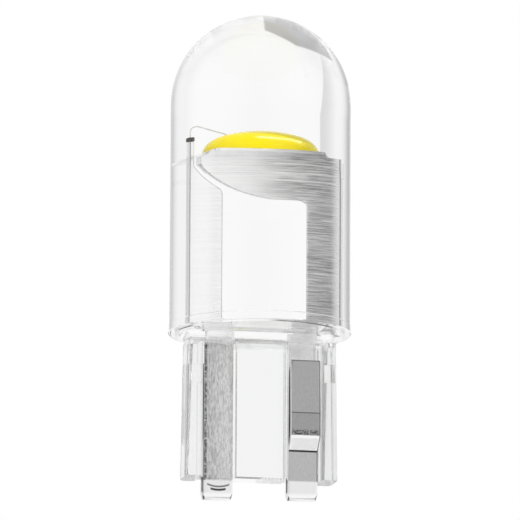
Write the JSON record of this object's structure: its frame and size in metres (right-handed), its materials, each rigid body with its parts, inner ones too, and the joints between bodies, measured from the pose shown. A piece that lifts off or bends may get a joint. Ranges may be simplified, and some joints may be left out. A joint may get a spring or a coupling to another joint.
{
  "type": "wedge base led bulb",
  "caption": "Clear round-topped plug-in LED bulb with a flat wedge base, folded contact legs and a yellow phosphor dome on a stamped lead frame.",
  "frame": {"origin": "on the bulb's axis, on the underside face that seats against the lamp holder", "axes": "+Z along the axis from the wedge base towards the dome, X along the width of the wedge, Y through its thickness"},
  "size_m": [0.0102, 0.0102, 0.0272],
  "materials": {
    "clear_moulding": "clear, glossy",
    "plated_lead": "tin-plated copper alloy, brushed by the stamping",
    "phosphor": "yellow phosphor in silicone, smooth",
    "led_die": "polished semiconductor",
    "die_attach": "silver-filled adhesive",
    "solder": "dull solder",
    "gold_wire": "drawn gold"
  },
  "bodies": {
    "root": {"capsule": "clear_moulding", "anvil_lead": "plated_lead", "post_lead": "plated_lead", "wire_bead": "solder", "phosphor_dome": "phosphor", "die_attach_1": "die_attach", "die_attach_2": "die_attach", "die_attach_3": "die_attach", "die_attach_4": "die_attach", "led_die_1": "led_die", "led_die_2": "led_die", "led_die_3": "led_die", "led_die_4": "led_die", "wire_post": "gold_wire", "wire_link_1": "gold_wire", "wire_link_2": "gold_wire", "wire_link_3": "gold_wire", "wire_pad": "gold_wire"}
  },
  "joints": []
}
